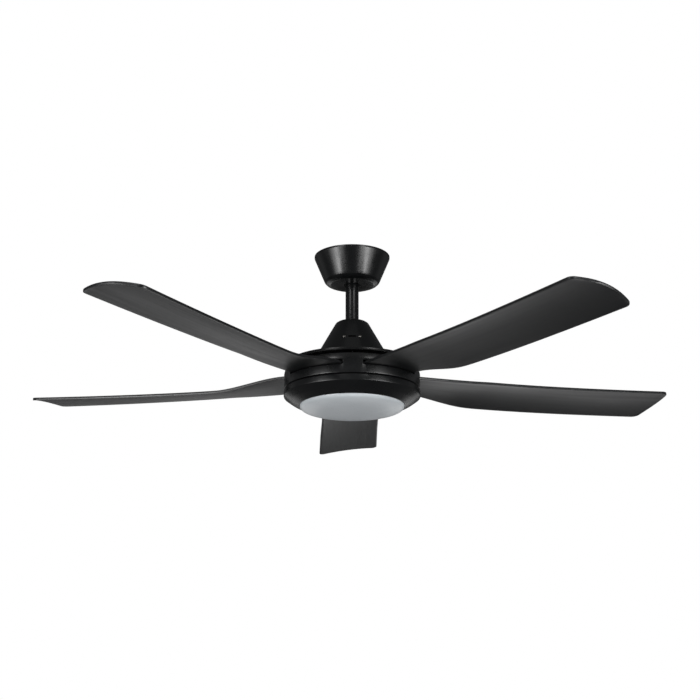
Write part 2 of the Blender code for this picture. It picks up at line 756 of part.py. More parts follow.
# Nuts on the shaft hold the housing and, below it, the plate that carries the light source.
PLATE_TOP_Z = -0.2840
PLATE_END_Z = PLATE_TOP_Z - 0.0015
for name, top in (("housing_nut", LIGHT_TOP_Z - 0.0022 - GAP), ("plate_nut", PLATE_END_Z - GAP)):
    nut = rod(name, 0.0130, 0.0038, (0, 0, top - 0.0019), (0, 0, 1), ZINC, steps=6)
    nut_bore = rod(name + "_bore", SHAFT_R + GAP, 0.02, (0, 0, top), (0, 0, 1), collection=cutters)
    boolean(nut, nut_bore)
lathe(
    "led_plate",
    [
        (0.0860, PLATE_TOP_Z),
        (0.0860, PLATE_END_Z),
        (SHAFT_R + GAP, PLATE_END_Z),
        (SHAFT_R + GAP, PLATE_TOP_Z),
    ],
    CAST,
    steps=36,
)
lathe(
    "led_board",
    [
        (0.0800, PLATE_END_Z - GAP),
        (0.0800, PLATE_END_Z - GAP - 0.0016),
        (0.0160, PLATE_END_Z - GAP - 0.0016),
        (0.0160, PLATE_END_Z - GAP),
    ],
    BOARD,
    steps=36,
)
block("led_driver", (0.0540, 0.0300, 0.0090), (0.0450, 0, PLATE_TOP_Z + GAP + 0.0045), DRIVER)

# Diffuser: a shallow opal bowl whose flat base turns up in a soft edge. Its lugs turn onto the ledge.
SKIRT_R = LEDGE_R - 0.0004
SKIRT_TOP_Z = LEDGE_TOP_Z + 0.0023
OPAL_WALL = 0.0020


def bowl(rim_r, rim_z, sag, count):
    """The profile of the bowl from its rim to the axis, fuller at the edge than a circle is."""
    turns = np.linspace(0.0, math.pi / 2, count)
    return [
        (rim_r * math.cos(a) ** (2 / 3), rim_z - sag * math.sin(a) ** (2 / 3)) for a in turns[:-1]
    ] + [(0.0, rim_z - sag)]


inner_bowl = bowl(SKIRT_R - OPAL_WALL, DIFFUSER_RIM_Z + 0.0010, DIFFUSER_SAG - OPAL_WALL - 0.0010, 5)
diffuser = lathe(
    "diffuser",
    inner_bowl[::-1]
    + [
        (SKIRT_R - OPAL_WALL, SKIRT_TOP_Z),
        (SKIRT_R, SKIRT_TOP_Z),
        (SKIRT_R, LEDGE_END_Z - GAP),
        (DIFFUSER_R, LEDGE_END_Z - GAP),
    ]
    + bowl(DIFFUSER_R, DIFFUSER_RIM_Z, DIFFUSER_SAG, 8),
    OPAL,
    steps=48,
)
for number in range(LUG_COUNT):
    degrees = 120 * number + 30
    lug = block(
        f"diffuser_lug_{number}", (0.0040, LUG_WIDTH, 0.0018),
        around(LEDGE_R + 0.0005, degrees, LEDGE_TOP_Z + GAP + 0.0009), collection=cutters,
        turned=math.radians(degrees),
    )
    boolean(diffuser, lug, "UNION")


def pivot(name, location, members):
    """An empty on the joint's axis that carries the pieces which move with it."""
    empty = bpy.data.objects.new(name, None)
    empty.location = location
    fan.objects.link(empty)
    for member in members:
        piece = bpy.data.objects[member]
        piece.parent = empty
        piece.matrix_parent_inverse = Matrix.Translation(-Vector(location))
    return empty


blade_parts = [f"blade_{n + 1}" for n in range(BLADE_COUNT)]
blade_parts += [f"blade_screw_{n + 1}{letter}" for n in range(BLADE_COUNT) for letter in "ab"]
hub_parts = ["blade_hub", "rotor_bell_upper", "rotor_bell_lower", "magnet_ring"]
hub_parts += ["bearing_upper", "bearing_lower"]
still_parts = ["canopy", "hanger_bracket", "terminal_block", "canopy_screw_1", "canopy_screw_2"]
hung_parts = [
    piece.name
    for piece in fan.objects
    if piece.type in ("MESH", "CURVE")
    and piece.name not in blade_parts + hub_parts + still_parts + ["ball_liner", "diffuser"]
]
liner_pivot = pivot("liner_pivot", (0, 0, BALL_Z), ["ball_liner"])
ball_pivot = pivot("ball_pivot", (0, 0, BALL_Z), hung_parts)
rotor_axis = pivot("rotor_axis", (0, 0, BLADE_ROOT_Z), blade_parts + hub_parts)
diffuser_axis = pivot("diffuser_axis", (0, 0, DIFFUSER_RIM_Z), ["diffuser"])
for inner, outer in ((ball_pivot, liner_pivot), (rotor_axis, ball_pivot), (diffuser_axis, ball_pivot)):
    inner.parent = outer
    inner.matrix_parent_inverse = Matrix.Translation(-outer.location)
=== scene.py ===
# %% [markdown]
# # A five-blade ceiling fan with a light
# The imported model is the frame: it fixes every size, joint and place. This script keeps those and
# gives the fan its finished surfaces: turned sheet metal with rounded edges, moulded blades,
# an opal bowl and small hardware, each with a material worked out from what the real one is.

# %% Load the frame
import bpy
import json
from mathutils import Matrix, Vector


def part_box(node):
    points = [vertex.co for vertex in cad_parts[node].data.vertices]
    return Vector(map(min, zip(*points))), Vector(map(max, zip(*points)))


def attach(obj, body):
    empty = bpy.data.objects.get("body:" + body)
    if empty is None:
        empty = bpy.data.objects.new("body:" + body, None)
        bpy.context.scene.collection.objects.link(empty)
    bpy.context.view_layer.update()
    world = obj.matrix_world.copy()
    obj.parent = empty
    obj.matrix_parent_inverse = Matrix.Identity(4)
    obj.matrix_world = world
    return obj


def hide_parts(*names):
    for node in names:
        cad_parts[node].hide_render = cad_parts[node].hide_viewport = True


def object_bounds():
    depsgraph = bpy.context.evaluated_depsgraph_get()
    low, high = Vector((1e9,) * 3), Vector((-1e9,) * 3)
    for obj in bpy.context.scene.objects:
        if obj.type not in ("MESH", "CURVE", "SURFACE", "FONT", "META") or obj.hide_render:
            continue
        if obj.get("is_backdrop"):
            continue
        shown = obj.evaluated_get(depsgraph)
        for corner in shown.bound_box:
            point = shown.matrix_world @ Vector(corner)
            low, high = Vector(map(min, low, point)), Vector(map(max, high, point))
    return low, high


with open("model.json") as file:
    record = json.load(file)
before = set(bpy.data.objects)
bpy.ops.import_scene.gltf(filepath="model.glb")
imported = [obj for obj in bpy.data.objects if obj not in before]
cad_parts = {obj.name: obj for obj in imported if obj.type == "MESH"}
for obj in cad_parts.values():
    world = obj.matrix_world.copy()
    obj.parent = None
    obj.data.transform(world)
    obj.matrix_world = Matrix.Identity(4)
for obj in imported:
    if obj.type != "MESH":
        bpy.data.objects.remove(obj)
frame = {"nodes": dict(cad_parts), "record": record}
CAD_BOX = [list(corner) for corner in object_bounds()]

import json
import math

import bmesh
import bpy
import numpy as np
from mathutils import Matrix, Vector

MM = 0.001
nodes = frame["nodes"]
print("box in mm:", [[round(v / MM) for v in corner] for corner in CAD_BOX])

# %% [markdown]
# ## Camera
# The fan is seen from below and from the front, as someone standing in a room sees it. The camera
# could be aimed at the fan with a constraint, but a fixed place and tilt are easier to repeat.
# It stands 2.6 m in front of the fan's axis and 0.95 m under the ceiling, and looks up 16 degrees.

# %% Camera
view = bpy.data.cameras.new("camera")
camera = bpy.data.objects.new("camera", view)
bpy.context.scene.collection.objects.link(camera)
bpy.context.scene.camera = camera
camera.location = (0.0, -2.5863, -0.9482)
camera.rotation_euler = (math.radians(90.0 + 16.358), 0.0, 0.0)
view.sensor_width = 36.0
view.lens = 72.23
view.shift_x = -0.0030
print("camera stands", round(camera.location.length, 2), "m from the ceiling mount")

# %% [markdown]
# ## Studio
# Satin black shows little but reflections, so the lights make the look. An upright wall of the
# fan mirrors what is a little above it, the canopy's cone what is a little below, and the blades'
# undersides what is low behind them. So a row of soft panels stands off to each side, brightest
# 48 degrees from the front, and a dim row stands low at the back. One big light would leave the
# black shape flat. The panels themselves are hidden from the camera.
# The floor is plain and pale and has a light of its own, linked to it alone, so that it stays pale
# while the fan's lights are low. Its bounce is kept off the fan, or it would fog the underside.

# %% Studio lights and floor
HUB_MIDDLE = (0.0, 0.0, -0.20)
LIGHT_DISTANCE = 2.2


def panel(name, turn, rise, width, height, power):
    """A soft panel that faces the hub, turn degrees right of the front and rise degrees up."""
    light = bpy.data.lights.new(name, "AREA")
    light.shape = "RECTANGLE"
    light.size = width
    light.size_y = height
    light.energy = power
    lamp = bpy.data.objects.new(name, light)
    bpy.context.scene.collection.objects.link(lamp)
    turn, rise = math.radians(turn), math.radians(rise)
    level = math.cos(rise)
    away = Vector((level * math.sin(turn), -level * math.cos(turn), math.sin(rise)))
    lamp.location = Vector(HUB_MIDDLE) + LIGHT_DISTANCE * away
    lamp.rotation_euler = (-away).to_track_quat("-Z", "Y").to_euler()
    lamp.visible_camera = False
    return lamp


panel("left_key", -48, -12, 0.55, 0.70, 15.0)
panel("left_inner", -34, -12, 0.55, 0.70, 3.5)
panel("left_outer", -62, -12, 0.55, 0.70, 4.5)
panel("left_high", -34, 28, 0.55, 0.70, 6.0)
panel("right_key", 48, -12, 0.55, 0.70, 14.0)
panel("right_inner", 34, -12, 0.55, 0.70, 8.0)
panel("right_outer", 62, -12, 0.55, 0.70, 3.6)
panel("right_high", 34, 28, 0.55, 0.70, 6.0)
panel("left_rim", -120, 0, 0.90, 1.20, 0.4)
panel("right_rim", 120, 0, 0.90, 1.20, 0.3)
panel("back_left", -155, -18, 0.45, 0.60, 0.55)
panel("back_middle_left", -168, -18, 0.45, 0.60, 0.85)
panel("back_middle_right", 168, -18, 0.45, 0.60, 1.05)
panel("back_right", 155, -18, 0.45, 0.60, 0.60)
panel("back_low", 180, -42, 0.45, 0.60, 0.40)
panel("top", 0, 60, 1.40, 1.40, 0.9)

FLOOR_Z = -2.40
form = bmesh.new()
bmesh.ops.create_grid(form, x_segments=1, y_segments=1, size=9.0)
floor_mesh = bpy.data.meshes.new("floor")
form.to_mesh(floor_mesh)
form.free()
floor = bpy.data.objects.new("floor", floor_mesh)
floor.location.z = FLOOR_Z
bpy.context.scene.collection.objects.link(floor)
floor.visible_glossy = False
floor.visible_diffuse = False
floor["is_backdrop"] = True

wash = bpy.data.lights.new("floor_wash", "SUN")
wash.energy = 3.0
wash.angle = math.radians(25)
floor_wash = bpy.data.objects.new("floor_wash", wash)
bpy.context.scene.collection.objects.link(floor_wash)
only_floor = bpy.data.collections.new("lit_by_floor_wash")
only_floor.objects.link(floor)
floor_wash.light_linking.receiver_collection = only_floor
print("floor is", FLOOR_Z, "m below the ceiling")

# %% [markdown]
# ## Helpers for materials
# A designer picks colours as sRGB hex, while Blender's shaders count in linear light, so one
# function turns one into the other. A material is a small graph, and one function adds a node to
# it with its settings and links. That keeps each recipe short enough to read as a whole.

# %% Colour and node helpers
def linear(hex_colour):
    """An sRGB colour such as "1a2b3c" as linear RGBA."""
    shares = [int(hex_colour[i:i + 2], 16) / 255 for i in (0, 2, 4)]
    return (*[s / 12.92 if s <= 0.04045 else ((s + 0.055) / 1.055) ** 2.4 for s in shares], 1.0)


def node(tree, kind, inputs=None, links=None, **settings):
    """Adds one node: settings are its properties, inputs its values, links what feeds it."""
    made = tree.nodes.new("ShaderNode" + kind)
    for name, value in settings.items():
        setattr(made, name, value)
    for name, value in (inputs or {}).items():
        made.inputs[name].default_value = value
    for name, socket in (links or {}).items():
        tree.links.new(socket, made.inputs[name])
    return made


def start(name, **values):
    """A new Principled material with these socket values: (material, tree, shader, position)."""
    made = bpy.data.materials.new(name)
    made.use_nodes = True
    tree = made.node_tree
    shader = tree.nodes["Principled BSDF"]
    for key, value in values.items():
        shader.inputs[key.replace("_", " ")].default_value = value
    return made, tree, shader, node(tree, "TexCoord").outputs["Object"]


def every(size_mm):
    """The texture scale of a pattern that repeats about every size_mm of surface."""
    return 1.0 / (size_mm * MM)


def spread(tree, value, low, high, from_low=0.3, from_high=0.7):
    """A noise value stretched from its usual range to low..high."""
    made = node(
        tree, "MapRange",
        {"From Min": from_low, "From Max": from_high, "To Min": low, "To Max": high},
        {"Value": value},
    )
    return made.outputs["Result"]


def blended(tree, share, first, second):
    """A colour between two: each is a hex text or a colour socket."""
    made = node(tree, "MixRGB", {}, {"Fac": share})
    for slot_name, colour in (("Color1", first), ("Color2", second)):
        if isinstance(colour, str):
            made.inputs[slot_name].default_value = linear(colour)
        else:
            tree.links.new(colour, made.inputs[slot_name])
    return made.outputs["Color"]


def feed(tree, shader, **sockets):
    """Links what was worked out to the shader's sockets."""
    for key, socket in sockets.items():
        tree.links.new(socket, shader.inputs[key.replace("_", " ")])


# %% [markdown]
# ## Floor paint
# A studio floor is matte paint with a faint roller mottle. A very pale warm grey keeps it quiet.

# %% Floor material
matte_paint, tree, shader, spot = start("matte_floor_paint", Roughness=0.85)
mottle = node(tree, "TexNoise", {"Scale": every(700), "Detail": 3.0}, {"Vector": spot})
feed(tree, shader, Base_Color=blended(tree, mottle.outputs["Fac"], "ededeb", "f4f4f3"))
floor.data.materials.append(matte_paint)
print("floor paint:", matte_paint.name)

# %% [markdown]
# ## Room light
# Round the fan the room is a dim even grey, so the black metal stays black between the soft
# panels, and behind it the backdrop is white. A white room for everything would fog the black.
# The Light Path node tells what is seen straight on from what only lights the fan.

# %% Room light
ROOM_LIGHT = 0.075
room = bpy.data.worlds.new("studio")
room.use_nodes = True
bpy.context.scene.world = room
tree = room.node_tree
tree.nodes.clear()
ray = node(tree, "LightPath")
backdrop = node(tree, "Background", {"Color": (1.0, 1.0, 1.0, 1.0), "Strength": 1.0})
walls = node(tree, "Background", {"Color": (0.97, 0.98, 1.0, 1.0), "Strength": ROOM_LIGHT})
mixed = node(tree, "MixShader", {}, {"Fac": ray.outputs["Is Camera Ray"]})
tree.links.new(walls.outputs[0], mixed.inputs[1])
tree.links.new(backdrop.outputs[0], mixed.inputs[2])
node(tree, "OutputWorld", {}, {"Surface": mixed.outputs[0]})
bpy.context.scene.view_settings.view_transform = "Standard"
print("room light:", ROOM_LIGHT)

# %% [markdown]
# ## Powder coat on steel
# The canopy, downrod, cover and housings are sheet steel in satin black polyester powder coat.
# Powder melts and flows in the oven but never quite flat. That leaves orange peel, low ripples
# about 2 mm apart that soften a reflection's edge; they are drawn 4 mm apart here, or they would
# not show at this distance. The gloss drifts a little, hands leave slightly duller patches, and
# a little dust settles on what faces up. Polyester's IOR is about 1.5.

# %% Powder coat material
COAT_ROUGHNESS = 0.27


def powder_coat(name, dark, light, rough):
    """Satin powder coat between two near colours."""
    made, tree, shader, spot = start(name, Roughness=rough, IOR=1.5)
    drift = node(tree, "TexNoise", {"Scale": every(60), "Detail": 3.0}, {"Vector": spot})
    handled = node(
        tree, "TexNoise", {"Scale": every(22), "Detail": 6.0, "Distortion": 0.6}, {"Vector": spot}
    )
    dulled = spread(tree, handled.outputs["Fac"], 0.0, 0.07, 0.52, 0.72)
    gloss = node(
        tree, "Math", {}, {0: spread(tree, drift.outputs["Fac"], rough - 0.03, rough + 0.03),
                           1: dulled}, operation="ADD",
    )
    peel = node(tree, "TexNoise", {"Scale": every(4.0), "Detail": 2.0}, {"Vector": spot})
    ripple = node(
        tree, "Bump", {"Strength": 0.05, "Distance": 0.10 * MM}, {"Height": peel.outputs["Fac"]}
    )
    facing = node(tree, "NewGeometry").outputs["Normal"]
    upwards = node(tree, "SeparateXYZ", {}, {"Vector": facing}).outputs["Z"]
    dust = node(tree, "TexNoise", {"Scale": every(7), "Detail": 6.0}, {"Vector": spot})
    settled = node(
        tree, "Math", {}, {0: spread(tree, upwards, 0.0, 0.30, 0.6, 1.0),
                           1: spread(tree, dust.outputs["Fac"], 0.2, 1.0)}, operation="MULTIPLY",
    )
    coat = blended(tree, spread(tree, drift.outputs["Fac"], 0.0, 1.0), dark, light)
    feed(
        tree, shader, Base_Color=blended(tree, settled.outputs["Value"], coat, "6d6963"),
        Roughness=gloss.outputs["Value"], Normal=ripple.outputs["Normal"],
    )
    return made


satin_black = powder_coat("satin_black_powder_coat", "0f1011", "151617", COAT_ROUGHNESS)
print("powder coat:", satin_black.name)

# %% [markdown]
# ## Moulded ABS blades
# The blades are black ABS, moulded against a finely etched steel tool. The etching leaves an even
# matte grain; it is finer than half a millimetre, and is drawn 2.5 mm wide so that it shows. Melt
# that ran from the hub end to the tip leaves faint long streaks in the gloss. The long edges,
# where hands hold a blade, are rubbed a little smoother. ABS has an IOR of about 1.53. A vector
# stored on each blade's points runs along and across it, so the streaks follow the blade.

# %% Blade material
BLADE_ROUGHNESS = 0.38
moulded_abs, tree, shader, spot = start(
    "moulded_black_abs", Roughness=BLADE_ROUGHNESS, IOR=1.53
)
lengthwise = node(tree, "Attribute", attribute_name="along_blade").outputs["Vector"]
stretched = node(
    tree, "Mapping", {"Scale": (every(260), every(9), every(9))}, {"Vector": lengthwise}
)
streaks = node(
    tree, "TexNoise", {"Scale": 1.0, "Detail": 4.0}, {"Vector": stretched.outputs["Vector"]}
)
across = node(tree, "SeparateXYZ", {}, {"Vector": lengthwise}).outputs["Y"]
off_middle = node(tree, "Math", {}, {0: across}, operation="ABSOLUTE").outputs["Value"]
rubbed = spread(tree, off_middle, 0.0, -0.05, 0.048, 0.062)
gloss = node(
    tree, "Math",
    {}, {0: spread(tree, streaks.outputs["Fac"], BLADE_ROUGHNESS - 0.035, BLADE_ROUGHNESS + 0.035),
         1: rubbed}, operation="ADD",
)
grain = node(tree, "TexNoise", {"Scale": every(2.5), "Detail": 3.0}, {"Vector": spot})
pebbled = node(
    tree, "Bump", {"Strength": 0.14, "Distance": 0.08 * MM}, {"Height": grain.outputs["Fac"]}
)
facing = node(tree, "NewGeometry").outputs["Normal"]
upwards = node(tree, "SeparateXYZ", {}, {"Vector": facing}).outputs["Z"]
dust = node(tree, "TexNoise", {"Scale": every(9), "Detail": 6.0}, {"Vector": spot})
settled = node(
    tree, "Math", {}, {0: spread(tree, upwards, 0.0, 0.22, 0.6, 1.0),
                       1: spread(tree, dust.outputs["Fac"], 0.2, 1.0)}, operation="MULTIPLY",
)
plastic = blended(tree, spread(tree, streaks.outputs["Fac"], 0.0, 1.0), "161718", "1c1d1e")
feed(
    tree, shader, Base_Color=blended(tree, settled.outputs["Value"], plastic, "6d6963"),
    Roughness=gloss.outputs["Value"], Normal=pebbled.outputs["Normal"],
)
print("blade plastic:", moulded_abs.name)

# %% [markdown]
# ## Opal acrylic bowl
# The diffuser is moulded opal acrylic. White pigment scatters light inside it, so it looks soft
# and faintly cool, with no sharp shadow on it. Subsurface scattering a few millimetres deep does
# that; a Glass or Translucent mix would let the dark parts inside show through. Its skin is a fine
# satin. Acrylic's IOR is 1.49. The pigment is never spread quite evenly.

# %% Opal material
opal_acrylic, tree, shader, spot = start(
    "opal_acrylic", Roughness=0.30, IOR=1.49, Subsurface_Weight=0.35, Subsurface_Scale=0.004,
    Subsurface_Radius=(1.0, 0.95, 0.9),
)
cloud = node(tree, "TexNoise", {"Scale": every(40), "Detail": 3.0}, {"Vector": spot})
satin = node(tree, "TexNoise", {"Scale": every(3), "Detail": 4.0}, {"Vector": spot})
skin = node(
    tree, "Bump", {"Strength": 0.05, "Distance": 0.05 * MM}, {"Height": satin.outputs["Fac"]}
)
feed(
    tree, shader,
    Base_Color=blended(tree, spread(tree, cloud.outputs["Fac"], 0.0, 1.0), "c9cfd3", "d1d6da"),
    Roughness=spread(tree, satin.outputs["Fac"], 0.27, 0.35), Normal=skin.outputs["Normal"],
)
print("bowl plastic:", opal_acrylic.name)

# %% [markdown]
# ## Plain metals
# Small hardware is bare or plated metal. Each kind differs in colour, roughness and the size of
# its grain, so one recipe with those three serves them all, and a metal's colour is its
# reflection. Plated screws are smooth, with faint polishing scratches. Cast aluminium is pebbled
# by the mould's sand or die, and stamped parts show the sheet's rolling grain as short streaks.

# %% Metal materials
def bare_metal(name, dark, light, rough, grain_mm, streak=1.0, bump=0.10):
    """Metal with mottled colour and roughness; streak over 1 draws the grain out along X."""
    made, tree, shader, spot = start(name, Metallic=1.0, Roughness=rough)
    drawn = node(
        tree, "Mapping", {"Scale": (every(grain_mm * streak), every(grain_mm), every(grain_mm))},
        {"Vector": spot},
    )
    grain = node(
        tree, "TexNoise", {"Scale": 1.0, "Detail": 5.0}, {"Vector": drawn.outputs["Vector"]}
    )
    stain = node(tree, "TexNoise", {"Scale": every(18), "Detail": 3.0}, {"Vector": spot})
    texture = node(
        tree, "Bump", {"Strength": bump, "Distance": 0.10 * MM}, {"Height": grain.outputs["Fac"]}
    )
    feed(
        tree, shader,
        Base_Color=blended(tree, spread(tree, stain.outputs["Fac"], 0.0, 1.0), dark, light),
        Roughness=spread(tree, grain.outputs["Fac"], rough - 0.07, rough + 0.09),
        Normal=texture.outputs["Normal"],
    )
    return made


# Nickel plate: warm grey metal, satin from barrel plating, so its glints are small and soft.
satin_nickel = bare_metal("satin_nickel_plate", "8f8d89", "a3a19c", 0.34, 1.2, 4.0, 0.04)
# Zinc plate: bluish, cloudier and duller than nickel.
zinc_plate = bare_metal("zinc_plated_steel", "a3a8ac", "bfc3c6", 0.36, 1.6, 5.0)
# Die-cast aluminium: pale grey, with a pebbled matte skin.
cast_aluminium = bare_metal("die_cast_aluminium", "9fa1a3", "b4b5b6", 0.50, 1.2, 1.0, 0.30)
# Electrical steel: dark grey sheet edges.
lamination = bare_metal("stacked_electrical_steel", "5f6164", "787a7d", 0.45, 0.8, 9.0, 0.20)
# Enamelled copper: the clear enamel darkens the copper towards brown.
winding = bare_metal("enamelled_copper_wire", "8a4a26", "b0683a", 0.32, 0.9, 7.0, 0.40)
print("metals:", [m.name for m in (satin_nickel, zinc_plate, cast_aluminium, lamination, winding)])

# %% [markdown]
# ## Moulded and sintered insides
# The terminal block is natural nylon, slightly waxy, and the ball and its liner are nylon filled
# with carbon black, as is usual where they show in the canopy's hole. The magnets are sintered
# ferrite, almost black and grainy. The light board has white solder mask over fibreglass weave,
# and the driver sits in a pale polycarbonate case. All are one plain recipe: colour mottle,
# roughness mottle and a grain at its own size.

# %% Plastic and ceramic materials
def plain_solid(name, dark, light, rough, grain_mm, bump=0.10, index=1.5):
    """A non-metal with mottled colour, uneven gloss and a fine grain."""
    made, tree, shader, spot = start(name, Roughness=rough, IOR=index)
    mottle = node(tree, "TexNoise", {"Scale": every(14), "Detail": 4.0}, {"Vector": spot})
    grain = node(tree, "TexNoise", {"Scale": every(grain_mm), "Detail": 3.0}, {"Vector": spot})
    texture = node(
        tree, "Bump", {"Strength": bump, "Distance": 0.08 * MM}, {"Height": grain.outputs["Fac"]}
    )
    feed(
        tree, shader,
        Base_Color=blended(tree, spread(tree, mottle.outputs["Fac"], 0.0, 1.0), dark, light),
        Roughness=spread(tree, grain.outputs["Fac"], rough - 0.05, rough + 0.06),
        Normal=texture.outputs["Normal"],
    )
    return made


natural_nylon = plain_solid("natural_nylon", "cfc9bb", "dcd7ca", 0.45, 1.5, 0.08, 1.53)
black_nylon = plain_solid("black_nylon", "19191a", "212122", 0.45, 1.5, 0.08, 1.53)
ferrite = plain_solid("sintered_ferrite", "232325", "2e2e31", 0.62, 0.8, 0.30)
solder_mask = plain_solid("white_solder_mask", "e6e6e2", "f1f1ee", 0.35, 1.4, 0.12)
polycarbonate = plain_solid("pale_polycarbonate", "c6c9cc", "d3d6d8", 0.48, 1.2, 0.12, 1.58)
plastics = (natural_nylon, black_nylon, ferrite, solder_mask, polycarbonate)
print("plastics:", [plastic.name for plastic in plastics])

# %% [markdown]
# ## Helpers for shapes
# Sheet metal that is spun or pressed has no sharp corner, and its rounded edges catch the light.
# A profile with its corners rounded, turned about the fan's axis, gives that with clean, even
# faces. Bevelling a finished mesh would do it too, but less evenly round small radii. Holes and
# slots are then cut with a Boolean, and the result is baked to a plain mesh that the view shades
# smoothly, apart from its true edges.

# %% Rounded profile
TURN_STEPS = 128


def rounded(corners, steps=4):
    """(radius, height, rounding) corners in mm as a point list in metres with rounded corners."""
    points = []
    for index, (radius, height, rounding) in enumerate(corners):
        here = Vector((radius, height))
        back = Vector(corners[index - 1][:2]) - here
        on = Vector(corners[(index + 1) % len(corners)][:2]) - here
        if not rounding:
            points.append(here * MM)
            continue
        reach = min(
            rounding / math.tan(back.angle(on) / 2), 0.48 * back.length, 0.48 * on.length
        )
        first, last = here + back.normalized() * reach, here + on.normalized() * reach
        for step in range(steps + 1):
            t = step / steps
            bend = (1 - t) ** 2 * first + 2 * t * (1 - t) * here + t * t * last
            points.append(bend * MM)
    return [(point.x, point.y) for point in points]


# %% Turned mesh
def new_object(name, mesh):
    made = bpy.data.objects.new(name, mesh)
    bpy.context.scene.collection.objects.link(made)
    return made


def mesh_from(form, name):
    """A mesh from a bmesh, with doubled points joined and its faces turned outwards."""
    bmesh.ops.remove_doubles(form, verts=form.verts, dist=0.000001)
    bmesh.ops.recalc_face_normals(form, faces=form.faces)
    mesh = bpy.data.meshes.new(name)
    form.to_mesh(mesh)
    form.free()
    return mesh


def turned(name, outline, steps=TURN_STEPS, closed=True):
    """The (radius, height) outline turned once round the Z axis."""
    form = bmesh.new()
    points = [form.verts.new((radius, 0.0, height)) for radius, height in outline]
    ends = list(zip(points, points[1:])) + ([(points[-1], points[0])] if closed else [])
    edges = [form.edges.new(pair) for pair in ends]
    bmesh.ops.spin(
        form, geom=points + edges, axis=(0, 0, 1), cent=(0, 0, 0), angle=2 * math.pi,
        steps=steps, use_merge=True,
    )
    return new_object(name, mesh_from(form, name))


# %% Cutting and baking
def bake(piece, sharp=35.0):
    """Applies the piece's modifiers, and shades it smoothly apart from its true edges."""
    graph = bpy.context.evaluated_depsgraph_get()
    mesh = bpy.data.meshes.new_from_object(piece.evaluated_get(graph))
    piece.modifiers.clear()
    piece.data = mesh
    mesh.shade_smooth()
    mesh.set_sharp_from_angle(angle=math.radians(sharp))
    return piece


def cut(piece, cutter):
    """Cuts the cutter's shape out of the piece, and removes the cutter."""
    step = piece.modifiers.new("cut", "BOOLEAN")
    step.operation = "DIFFERENCE"
    step.object = cutter
    bake(piece)
    bpy.data.objects.remove(cutter)
    return piece


def bars(name, radius_mm, length_mm, places, steps=24):
    """Round cutters in one mesh; each place is (middle, direction)."""
    form = bmesh.new()
    for middle, direction in places:
        made = bmesh.ops.create_cone(
            form, cap_ends=True, segments=steps, radius1=radius_mm * MM, radius2=radius_mm * MM,
            depth=length_mm * MM,
        )
        turn = Vector(direction).to_track_quat("Z", "Y").to_matrix().to_4x4()
        bmesh.ops.transform(form, matrix=Matrix.Translation(middle) @ turn, verts=made["verts"])
    mesh = bpy.data.meshes.new(name)
    form.to_mesh(mesh)
    form.free()
    return new_object(name, mesh)


def boxes(name, size_mm, places, corner_mm=0.0):
    """Box cutters in one mesh; each place is (middle, turn about Z), with upright edges rounded."""
    form = bmesh.new()
    for middle, turn in places:
        made = bmesh.ops.create_cube(form, size=1.0)
        at = Matrix.Translation(middle) @ Matrix.Rotation(turn, 4, "Z")
        sized = Matrix.Diagonal((*[side * MM for side in size_mm], 1.0))
        bmesh.ops.transform(form, matrix=at @ sized, verts=made["verts"])
    if corner_mm:
        radial = [
            edge for edge in form.edges
            if abs((edge.verts[0].co - edge.verts[1].co).length - size_mm[0] * MM) < 1e-7
        ]
        bmesh.ops.bevel(
            form, geom=radial, offset=corner_mm * MM, segments=5, profile=0.5, affect="EDGES"
        )
    mesh = bpy.data.meshes.new(name)
    form.to_mesh(mesh)
    form.free()
    return new_object(name, mesh)


def around(radius_mm, angle, height_mm):
    """The point at this angle on a level circle about the fan's axis."""
    return Vector((radius_mm * math.cos(angle), radius_mm * math.sin(angle), height_mm)) * MM


# %% [markdown]
# ## Standing in for a frame part
# A finished piece takes the place of one part of the frame. It has to move with the same body and
# take the same finish, and both are in the frame's record, so one function reads them there.

# %% Piece bookkeeping
record = frame["record"]
BODY_OF = {name: body for body, names in record["behaviour"]["bodies"].items() for name in names}
SLOT_OF = {entry["node"]: entry["material_slot"] for entry in record["subparts"]}
FINISH_OF = {
    "satin_black": satin_black, "blade_black": moulded_abs, "opal": opal_acrylic,
    "zinc_steel": zinc_plate, "bright_screw": satin_nickel, "nylon": natural_nylon,
    "black_nylon": black_nylon, "cast_aluminium": cast_aluminium,
    "lamination_steel": lamination, "copper_winding": winding, "ferrite": ferrite,
    "led_board": solder_mask, "driver_case": polycarbonate,
}


def stands_for(piece, part):
    """The piece shows instead of the frame's part, in that part's finish."""
    piece.data.materials.clear()
    piece.data.materials.append(FINISH_OF[SLOT_OF[part]])
    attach(piece, BODY_OF[part])
    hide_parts(part)
    low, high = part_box(part)
    corners = [piece.matrix_world @ Vector(corner) for corner in piece.bound_box]
    off = max(
        max(low[axis] - min(c[axis] for c in corners), max(c[axis] for c in corners) - high[axis])
        for axis in range(3)
    )
    count = len(piece.data.polygons)
    print(f"{piece.name}: {count} faces, at most {off / MM:.2f} mm outside {part}")


# %% [markdown]
# ## Canopy
# The canopy is one disc of steel spun over a form: a cone that opens towards the ceiling, a
# rounded shoulder and a flat floor with a hole for the rod. Spinning leaves the wall an even
# 1.3 mm and every bend rounded, so the profile is rounded too. Two screws hold it from the sides.

